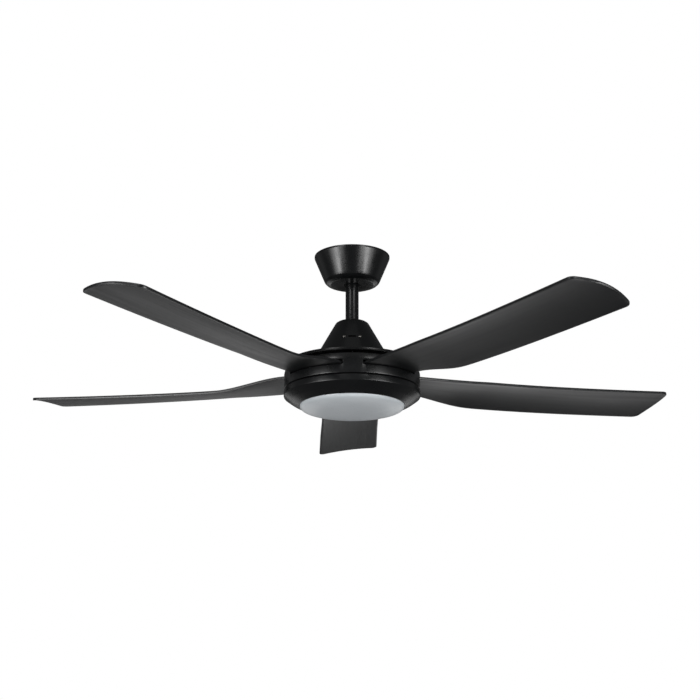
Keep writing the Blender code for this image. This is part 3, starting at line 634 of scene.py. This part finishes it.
# %% Canopy
canopy = turned("canopy_shell", rounded([
    (73.3, 0.0, 0.4), (73.3, -3.4, 1.4), (55.2, -47.4, 6.0), (53.4, -51.4, 5.0),
    (49.6, -55.2, 5.0), (42.6, -58.0, 6.0), (17.0, -58.0, 0.5), (17.0, -56.7, 0.5),
    (42.2, -56.7, 5.0), (48.8, -54.0, 4.0), (52.2, -50.6, 4.0), (53.8, -47.0, 5.0),
    (71.9, -3.2, 1.2), (71.9, 0.0, 0.3),
]), steps=160)
EAR_ANGLES = [math.radians(28), math.radians(152)]
CANOPY_RIM, CANOPY_BAND = 73.3, 3.0
CANOPY_LEAN = (CANOPY_RIM - 55.4) / (46.8 - CANOPY_BAND)
SCREW_DROP = 12.0
side_way = [
    (
        around(CANOPY_RIM - (SCREW_DROP - CANOPY_BAND) * CANOPY_LEAN, angle, -SCREW_DROP),
        around(1000, angle, -1000 * CANOPY_LEAN),
    )
    for angle in EAR_ANGLES
]
cut(canopy, bars("canopy_holes", 1.9, 24.0, side_way))
stands_for(canopy, "canopy")

# %% [markdown]
# ## Downrod
# The downrod is a one-inch steel tube, cut square and deburred. A pin goes across it at each end,
# through the hanger ball above and the coupling below.

# %% Downrod
downrod = turned("downrod_tube", rounded([
    (12.7, -19.5, 0.5), (12.7, -170.0, 0.5), (11.1, -170.0, 0.5), (11.1, -19.5, 0.5),
]), steps=72)
cut(downrod, bars("ball_pin_way", 2.5, 60.0, [((0, 0, -27.0 * MM), (1, 0, 0))]))
cut(downrod, bars("clevis_way", 3.5, 70.0, [((0, 0, -160.0 * MM), (1, 0, 0))]))
stands_for(downrod, "downrod")

# %% [markdown]
# ## Yoke cover
# The cone over the coupling is spun too. It slides up the rod for access, so its hole has a small
# turned-in lip. Two screws fix it, and a curved slot between them shows the coupling behind it.

# %% Yoke cover
COVER_LEAN = 0.5625
COVER_FOOT_R, COVER_FOOT_Z = 77.4, -218.6
SCREW_Z = -177.5


def cover_radius(height):
    """The cone's outer radius at this height, in mm."""
    return COVER_FOOT_R + COVER_LEAN * (COVER_FOOT_Z - height)


COVER_INSET = 1.3 * math.hypot(1.0, COVER_LEAN)
yoke_cover = turned("yoke_cover_shell", rounded([
    (13.3, -133.5, 0.5), (24.0, -133.5, 6.0), (27.8, -134.9, 5.0),
    (cover_radius(-137.5), -137.5, 6.0), (COVER_FOOT_R, COVER_FOOT_Z, 0.4),
    (COVER_FOOT_R - COVER_INSET, COVER_FOOT_Z, 0.4),
    (cover_radius(-137.8) - COVER_INSET, -137.8, 5.0),
    (24.0, -135.2, 4.0), (13.3, -134.8, 0.4),
]))
cover_screw_angles = [math.radians(-90 - 16.1), math.radians(-90 + 16.1)]
cover_way = [
    (around(cover_radius(SCREW_Z) + 0.3, angle, SCREW_Z), around(1000, angle, 1000 * COVER_LEAN))
    for angle in cover_screw_angles
]
cut(yoke_cover, bars("cover_holes", 1.9, 20.0, cover_way))
window = around(cover_radius(SCREW_Z), -math.pi / 2, SCREW_Z)
cut(yoke_cover, boxes("cover_slot", (30.0, 15.0, 3.4), [(window, -math.pi / 2)], 1.5))
stands_for(yoke_cover, "yoke_cover")

# %% [markdown]
# ## Pan-head screws
# A pan head is a low dome with a rounded rim, and its cross recess tapers inwards. The dome is
# turned, and the recess is cut by a tapered cross. These are small, but they are the only bright
# points on the black fan, so their shape shows.

# %% Pan-head screw
def pan_screw(name, part, seat, outward, shank_mm, head_mm=3.2):
    """A screw with its head's underside at seat, facing outward."""
    scale = head_mm / 3.2
    shank_r = 1.6 * scale
    screw = turned(name, rounded([
        (0.0, 1.75 * scale, 0.0), (1.4 * scale, 1.65 * scale, 1.5), (2.7 * scale, 1.1 * scale, 0.9),
        (3.2 * scale, 0.35 * scale, 0.4), (3.1 * scale, 0.0, 0.1), (shank_r, 0.0, 0.1),
        (shank_r, -shank_mm + 0.5, 0.2), (shank_r - 0.4, -shank_mm, 0.0), (0.0, -shank_mm, 0.0),
    ], steps=3), steps=36, closed=False)
    form = bmesh.new()
    for long_side, short_side in ((3.8, 0.85), (0.85, 3.8)):
        made = bmesh.ops.create_cube(form, size=1.0)
        for corner in made["verts"]:
            taper = 1.0 if corner.co.z > 0 else 0.62
            corner.co = Vector((
                corner.co.x * long_side * taper * scale, corner.co.y * short_side * taper * scale,
                (1.55 + 1.4 * corner.co.z) * scale,
            )) * MM
    recess = bpy.data.meshes.new("recess")
    form.to_mesh(recess)
    form.free()
    cutter = new_object("recess", recess)
    step = screw.modifiers.new("recess", "BOOLEAN")
    step.operation, step.object, step.use_self = "DIFFERENCE", cutter, True
    bake(screw, 30.0)
    bpy.data.objects.remove(cutter)
    turn = Vector(outward).to_track_quat("Z", "Y").to_matrix().to_4x4()
    screw.data.transform(Matrix.Translation(seat) @ turn)
    stands_for(screw, part)


for number, angle in enumerate(cover_screw_angles, 1):
    pan_screw(
        f"cover_screw_{number}_plated", f"cover_screw_{number}",
        around(cover_radius(SCREW_Z) + 0.3, angle, SCREW_Z),
        around(1000, angle, 1000 * COVER_LEAN), 5.5,
    )
for number, (seat, outward) in enumerate(side_way, 1):
    pan_screw(
        f"canopy_screw_{number}_plated", f"canopy_screw_{number}",
        seat + Vector(outward).normalized() * 0.3 * MM, outward, 7.5,
    )

# %% [markdown]
# ## Top cover
# The still disc above the blades is a shallow pressed lid: a flat plate, a rounded edge and a
# short lip. Six vents round the coupling let the motor's heat out under the yoke cover.

# %% Top cover
top_cover = turned("top_cover_lid", rounded([
    (8.8, -219.0, 0.3), (126.8, -219.0, 1.8), (126.8, -224.7, 0.4), (124.4, -224.7, 0.4),
    (124.4, -221.2, 0.8), (8.8, -221.2, 0.3),
]), steps=160)
cut(top_cover, bars("flange_holes", 2.1, 20.0, [
    (around(24.5, angle, -219.0), (0, 0, 1)) for angle in (math.pi / 2, -math.pi / 2)
]))
vents = [math.radians(60 * number + 30) for number in range(6)]
cut(top_cover, boxes(
    "vents", (20.0, 5.0, 20.0), [(around(56.0, angle, -219.0), angle) for angle in vents]
))
stands_for(top_cover, "top_cover")

# %% [markdown]
# ## Blade hub
# The ring that turns is deep drawn, with a wide slot through its wall for each blade. The blades'
# roots lie on a shelf inside it. Its rims and slots are softened by the coat, so the slots get a
# small bevel after the cut; their sharp corners would otherwise look sawn.

# %% Blade hub
FIRST_BLADE = math.radians(90.65)
blade_turns = [FIRST_BLADE + math.radians(72 * number) for number in range(5)]
blade_hub = turned("blade_hub_ring", rounded([
    (80.5, -230.4, 0.3), (127.0, -230.4, 1.6), (129.6, -240.0, 14.0), (129.6, -269.0, 1.8),
    (80.5, -269.0, 0.3), (80.5, -266.5, 0.0), (125.6, -266.5, 1.0), (125.6, -254.8, 0.0),
    (80.5, -254.8, 0.0), (80.5, -251.8, 0.0), (125.6, -251.8, 0.0), (125.6, -240.4, 6.0),
    (123.6, -232.9, 0.6), (80.5, -232.9, 0.0),
]), steps=160)
cut(blade_hub, boxes(
    "blade_slots", (30.0, 120.8, 9.4),
    [(around(121.5, turn, -248.7), turn) for turn in blade_turns], 1.8,
))
soften = blade_hub.modifiers.new("soften", "BEVEL")
soften.width = 0.45 * MM
soften.segments = 3
soften.limit_method = "ANGLE"
soften.angle_limit = math.radians(50)
bake(blade_hub, 40.0)
stands_for(blade_hub, "blade_hub")

# %% [markdown]
# ## Blades
# Each blade is one moulding: nearly level where it enters its slot, then twisted to almost ten
# degrees and slightly arched across, and drooping a little before it rises again towards the tip.
# A formula gives the shape of both faces, and lets them meet in a rounded edge all round. Sculpting
# or thickening a sheet could give it as well, but the formula keeps all five blades exactly alike
# and its rows clean where the tip's corners turn.

# %% Blade shape
def eased(value, begin, end):
    """0 before begin, 1 after end, and smooth between them."""
    t = min(1.0, max(0.0, (value - begin) / (end - begin)))
    return t * t * (3.0 - 2.0 * t)


SWEEP = 0.660
ROOT = 0.088
TIP_BULGE = 0.010
TIP_CORNER = 0.013
FULL_PITCH = 0.270
PITCH, WASHOUT = math.radians(9.8), math.radians(2.25)
ROOT_CHORD, TIP_CHORD, CHORD_FROM = 0.1141, 0.1360, 0.1
ROOT_Z = -0.2488
DROOP, RISE, ARCH = 0.0088, 0.0566, 0.0050
TRAILING_SHIFT = 0.0023
HALF_THICKNESS = 0.0025
EDGE_ROUNDING = 0.0018


def blade_point(share, across, side):
    """The point this share of the way out, and across from -1 to 1, of a blade along +X.

    side is 1 on the upper face and -1 on the lower one; the faces meet all round the outline.
    """
    length = SWEEP - TIP_BULGE - ROOT
    out = 1.0 - (1.0 - 0.45 * share - 0.275 * (1.0 - math.cos(math.pi * share))) ** 1.3
    radius = ROOT + length * out
    widening = (TIP_CHORD - ROOT_CHORD) * (radius - CHORD_FROM) / (SWEEP - CHORD_FROM)
    half = (ROOT_CHORD + widening) / 2
    from_tip = length * (1.0 - out)
    if from_tip < TIP_CORNER:
        half -= TIP_CORNER - math.sqrt(TIP_CORNER**2 - (TIP_CORNER - from_tip) ** 2)
    pitch = PITCH * eased(radius, 0.118, FULL_PITCH)
    pitch -= WASHOUT * max(0.0, (radius - FULL_PITCH) / (SWEEP - FULL_PITCH))
    height = ROOT_Z - DROOP * eased(radius, 0.115, 0.255)
    height += RISE * max(0.0, radius - FULL_PITCH) ** 1.5
    height += ARCH * eased(radius, 0.125, FULL_PITCH) * (1.0 - across**2)
    offset = across * half
    inside = min(half * (1.0 - abs(across)), from_tip, radius - ROOT)
    missing = max(0.0, 1.0 - inside / EDGE_ROUNDING)
    thick = side * HALF_THICKNESS * (1.0 - missing**2.5) ** 0.4
    return (
        radius + TIP_BULGE * eased(radius, 0.560, 0.650) * (1.0 - across**2),
        TRAILING_SHIFT * eased(radius, 0.150, 0.450)
        + offset * math.cos(pitch) + thick * math.sin(pitch),
        height - offset * math.sin(pitch) + thick * math.cos(pitch),
    )


# %% One blade, both faces
form = bmesh.new()
for side in (-1, 1):
    face = bmesh.ops.create_grid(form, x_segments=64, y_segments=24, size=1.0)
    for corner in face["verts"]:
        # Columns lie closer together towards both long edges, which lets the edge round itself.
        across = math.sin(math.pi / 2 * max(-1.0, min(1.0, corner.co.y)))
        corner.co = blade_point(0.5 + 0.5 * corner.co.x, across, side)
pattern = new_object("blade_pattern", mesh_from(form, "blade_pattern"))
bake(pattern, 50.0)
root_screws = [((102.0 * MM, side * 30.0 * MM, -248.8 * MM), (0, 0, 1)) for side in (-1, 1)]
cut(pattern, bars("root_holes", 2.1, 30.0, root_screws))
print("one blade:", len(pattern.data.polygons), "faces")

# %% [markdown]
# The five blades are copies turned by 72 degrees. Each copy is turned in its mesh, and keeps a
# vector of where each point was on the unturned blade, which is what the streaks in the plastic
# read. Moving that vector sideways by a different step for each blade keeps the streaks apart.

# %% Five blades
along = np.empty(len(pattern.data.vertices) * 3, np.float32)
pattern.data.vertices.foreach_get("co", along)
along = along.reshape(-1, 3)
for number, turn in enumerate(blade_turns, 1):
    mesh = pattern.data.copy()
    kept = mesh.attributes.new("along_blade", "FLOAT_VECTOR", "POINT")
    kept.data.foreach_set("vector", (along + (0.7 * number, 0.0, 0.31 * number)).ravel())
    mesh.transform(Matrix.Rotation(turn, 4, "Z"))
    stands_for(new_object(f"blade_{number}_moulding", mesh), f"blade_{number}")
bpy.data.objects.remove(pattern)

# %% [markdown]
# ## Light housing
# The lower bowl is pressed steel: a short wall, a rounded corner and a long shallow cone down to
# the diffuser. Inside its rim a ledge with three notches takes the diffuser's lugs, which is how
# the diffuser is fitted with a short twist and no screws.

# %% Light housing
housing = turned("light_housing_shell", rounded([
    (8.8, -271.0, 0.3), (129.8, -271.0, 1.4), (130.0, -282.6, 2.4), (116.5, -292.4, 40.0),
    (101.4, -300.4, 0.5), (99.8, -300.4, 0.4), (99.8, -294.8, 0.0), (94.5, -294.8, 0.3),
    (94.5, -292.3, 0.3), (111.8, -292.3, 1.0), (127.6, -281.2, 1.5), (127.6, -273.2, 1.0),
    (8.8, -273.2, 0.3),
]), steps=160)
notches = [math.radians(angle) for angle in (55, 175, 295)]
cut(housing, boxes(
    "notches", (10.0, 17.0, 6.0), [(around(93.2, angle, -293.6), angle) for angle in notches]
))
stands_for(housing, "light_housing")

# %% [markdown]
# ## Diffuser
# The bowl is very shallow and flattens towards its middle, like a superellipse rather than part
# of a sphere. A thin skirt goes up inside the ledge, and three lugs on it hook over the ledge.

# %% Diffuser
def bowl(rim_radius, rim_height, sag, count):
    """The bowl's profile in metres from its rim to the axis, fuller at its edge than a circle."""
    angles = [math.pi / 2 * step / (count - 1) for step in range(count)]
    return [
        (rim_radius * math.cos(a) ** (2 / 3) * MM, (rim_height - sag * math.sin(a) ** (2 / 3)) * MM)
        for a in angles[:-1]
    ] + [(0.0, (rim_height - sag) * MM)]


skirt = [(92.1, -290.3), (92.4, -290.0), (93.8, -290.0), (94.1, -290.3), (94.1, -294.8),
         (94.4, -295.1), (98.9, -295.1), (99.5, -295.6)]
diffuser = turned(
    "diffuser_bowl",
    bowl(92.1, -298.0, 10.4, 30)[::-1]
    + [(radius * MM, height * MM) for radius, height in skirt] + bowl(99.5, -299.0, 13.4, 40),
    steps=160, closed=False,
)
lugs = boxes("lugs", (4.0, 14.0, 1.8), [
    (around(95.0, math.radians(120 * number + 30), -291.1), math.radians(120 * number + 30))
    for number in range(3)
], 0.8)
step = diffuser.modifiers.new("lugs", "BOOLEAN")
step.operation = "UNION"
step.object = lugs
bake(diffuser)
bpy.data.objects.remove(lugs)
stands_for(diffuser, "diffuser")
# A soft panel from below lights the bowl alone, as a flag would keep it off the black housing.
bowl_fill = panel("bowl_fill", 0, -70, 1.60, 1.60, 16.0)
only_bowl = bpy.data.collections.new("lit_by_bowl_fill")
only_bowl.objects.link(diffuser)
bowl_fill.light_linking.receiver_collection = only_bowl

# %% [markdown]
# ## Hanger ball, liner and coupling
# Up inside the canopy the nylon ball sits in its liner in the bracket's cup, and under the yoke
# cover the cast coupling takes the rod's lower end. These are turned parts as well, finer here
# than in the frame, because they show from above and through the cover's slot.

# %% Hanger ball, liner and coupling
def ball_arc(radius, low, high, count):
    """Profile points in mm on a circle about the ball's centre, from angle low to high."""
    angles = [math.radians(low + (high - low) * step / (count - 1)) for step in range(count)]
    return [(radius * math.cos(a), -36.0 + radius * math.sin(a)) for a in angles]


def in_metres(points):
    return [(radius * MM, height * MM) for radius, height in points]


flat = math.degrees(math.asin(13.5 / 19.0))
ball = turned("hanger_ball_nylon", in_metres(
    ball_arc(19.0, flat, -flat, 24)
    + [(13.5, -49.5), (13.0, -49.0), (13.0, -23.0), (13.5, -22.5)]
), steps=72)
cut(ball, bars("ball_pin_way", 2.5, 60.0, [((0, 0, -27.0 * MM), (1, 0, 0))]))
stands_for(ball, "hanger_ball")

liner = turned(
    "ball_liner_nylon",
    in_metres(ball_arc(20.8, -10, -36, 10) + ball_arc(19.3, -36, -10, 10)), steps=72,
)
stands_for(bake(liner), "ball_liner")

coupling = turned("downrod_coupling_cast", rounded([
    (17.7, -150.0, 0.0), (18.5, -150.8, 0.6), (18.5, -212.2, 2.5), (21.0, -214.7, 2.5),
    (29.0, -214.7, 0.6), (29.0, -218.7, 0.3), (8.8, -218.7, 0.3), (8.8, -185.0, 0.3),
    (13.0, -185.0, 0.5), (13.0, -150.0, 0.4),
]), steps=72)
cut(coupling, bars("clevis_way", 3.5, 70.0, [((0, 0, -160.0 * MM), (1, 0, 0))]))
cut(coupling, bars("flange_holes", 2.1, 20.0, [
    (around(24.5, angle, -214.7), (0, 0, 1)) for angle in (math.pi / 2, -math.pi / 2)
]))
stands_for(coupling, "downrod_coupling")

# %% [markdown]
# ## Hairpin clip
# The clip that keeps the clevis pin in is one piece of spring wire: a straight leg through the
# pin, a round eye, and a bowed leg that snaps over the pin. A bevelled curve is the natural way to
# make wire, and rounding its path gives the bends a real wire has.

# %% Hairpin clip
path = [(0.0, -6.5), (0.0, 0.0), (0.0, 6.5), (0.0, 12.0)]
path += [
    (2.4 - 2.4 * math.cos(a), 13.5 + 2.4 * math.sin(a))
    for a in [math.pi * step / 12 for step in range(13)]
]
path += [(4.8, 12.0), (5.0, 7.0), (6.0, 2.0), (5.0, -3.5)]
wire = bpy.data.curves.new("hairpin_clip_wire", "CURVE")
wire.dimensions = "3D"
wire.bevel_depth = 0.85 * MM
wire.bevel_resolution = 4
wire.use_fill_caps = True
line = wire.splines.new("POLY")
line.points.add(len(path) - 1)
for point, (across, lengthwise) in zip(line.points, path):
    point.co = (24.0 * MM, -lengthwise * MM, (-160.0 - across) * MM, 1.0)
line.use_smooth = True
clip = bpy.data.objects.new("hairpin_clip_wire", wire)
bpy.context.scene.collection.objects.link(clip)
bake_graph = bpy.context.evaluated_depsgraph_get()
clip_mesh = bpy.data.meshes.new_from_object(clip.evaluated_get(bake_graph))
bpy.data.objects.remove(clip)
clip_mesh.shade_smooth()
stands_for(new_object("hairpin_clip_bent", clip_mesh), "hairpin_clip")

# %% [markdown]
# ## Parts that stay as the frame has them
# The bracket, the motor's insides, the plain pins, nuts and screws and the light's boards are the
# right shape already. They keep the frame's mesh and get their real finish, and a small bevel
# modifier breaks their edges, because a stamped or machined edge is never quite sharp.

# %% Carried-over parts
carried = [name for name, part in nodes.items() if not part.hide_render]
for name in carried:
    part = nodes[name]
    part.data.materials.clear()
    part.data.materials.append(FINISH_OF[SLOT_OF[name]])
    soften = part.modifiers.new("soften", "BEVEL")
    soften.width = (0.5 if name == "hanger_bracket" else 0.25) * MM
    soften.segments = 2
    soften.limit_method = "ANGLE"
    soften.angle_limit = math.radians(40)
print(len(carried), "parts keep the frame's mesh:", ", ".join(sorted(carried)))

# %% [markdown]
# ## Check of size
# The finished fan has to fill the frame's box and no more. The largest difference between the
# frame's box and the finished fan's box is printed.

# %% Sizes
seen_box = [list(corner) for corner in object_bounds()]
largest = max(abs(a - b) for mine, its in zip(seen_box, CAD_BOX) for a, b in zip(mine, its))
print("largest difference from the frame's box:", round(largest / MM, 2), "mm")
